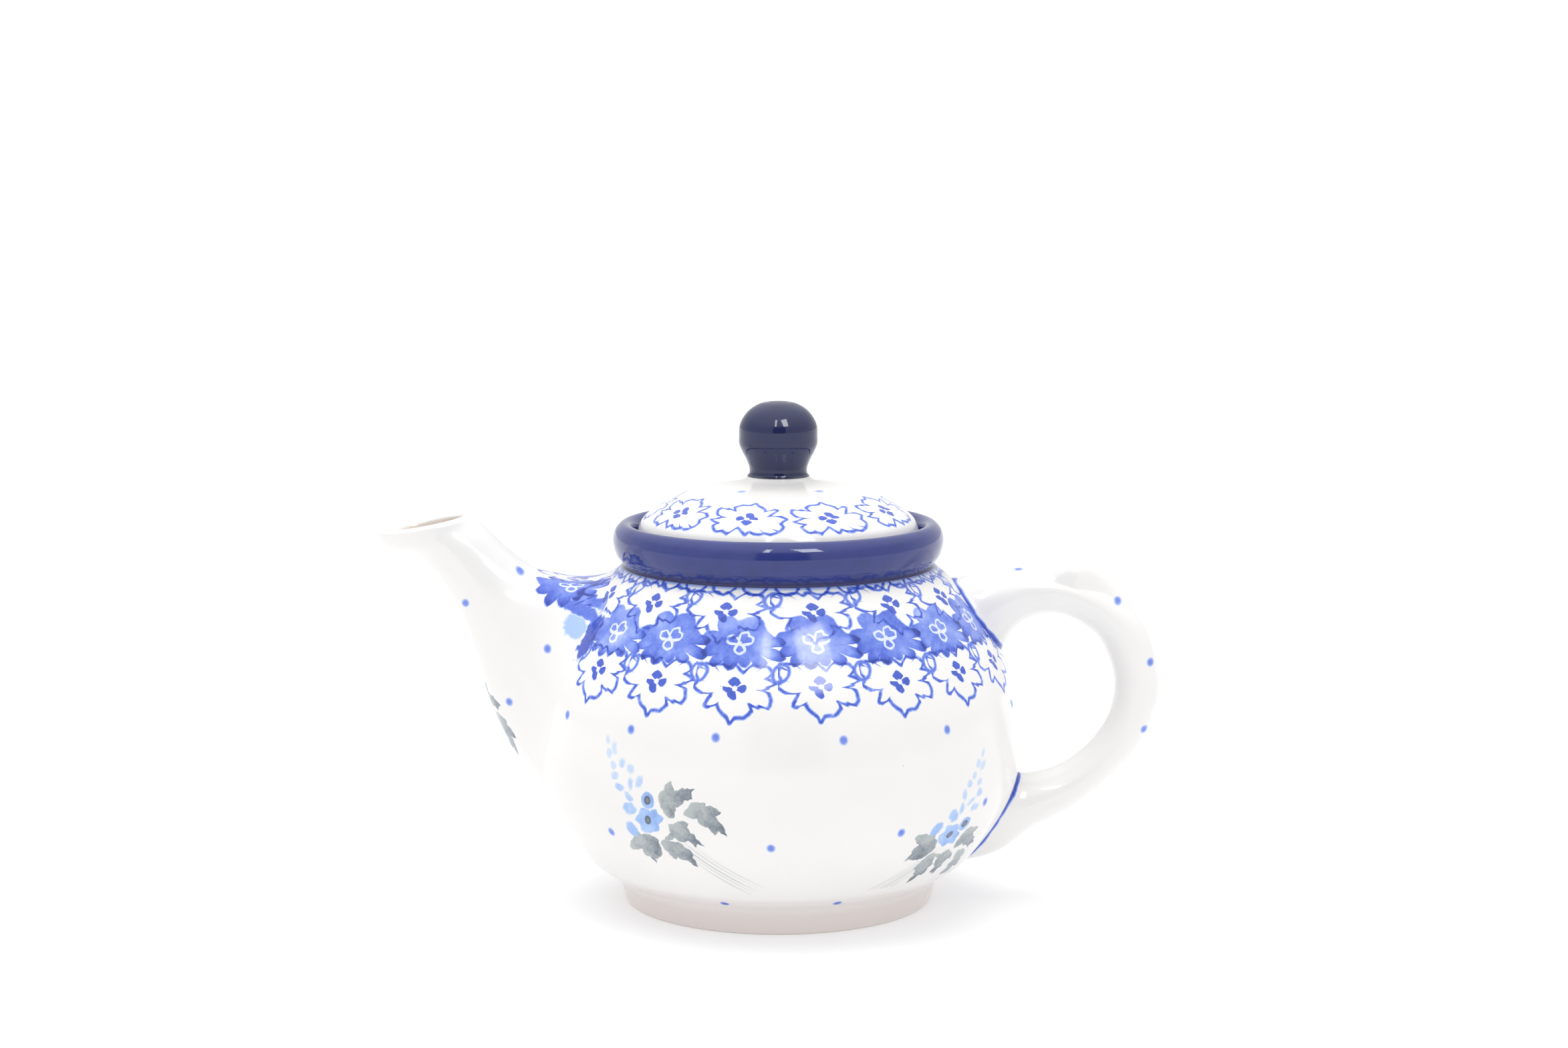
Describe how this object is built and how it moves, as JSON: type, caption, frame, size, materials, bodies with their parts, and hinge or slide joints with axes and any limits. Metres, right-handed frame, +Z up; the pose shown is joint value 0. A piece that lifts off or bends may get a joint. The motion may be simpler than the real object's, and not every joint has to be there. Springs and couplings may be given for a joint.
{
  "type": "teapot",
  "caption": "Round-bellied glazed stoneware teapot with a curved spout, ear handle with a thumb rest, rolled rim and a domed lift-off lid with a ball knob.",
  "frame": {"origin": "on the table, under the middle of the whole teapot from spout tip to handle; the pot's own axis is 3 mm towards the handle", "axes": "+X from the spout to the handle, +Y to the back, +Z up along the pot's axis"},
  "size_m": [0.235, 0.146, 0.1503],
  "materials": {
    "painted_glaze": "glossy clear glaze over a warm white body, with blue flowers and grey-green leaves",
    "white_glaze": "glossy warm white glaze",
    "cobalt_glaze": "glossy dark cobalt glaze"
  },
  "bodies": {
    "pot": {"body_shell": "painted_glaze", "foot_ring": "white_glaze", "rim_collar": "cobalt_glaze", "spout": "painted_glaze", "handle": "white_glaze", "thumb_rest": "white_glaze"},
    "cover": {"lid": "painted_glaze", "lid_flange": "white_glaze", "lid_knob": "cobalt_glaze"}
  },
  "joints": [
    {"name": "lid_lift", "type": "slide", "parent": "pot", "child": "cover", "axis": [0, 0, 1], "range_m": [0, 0.06]}
  ]
}
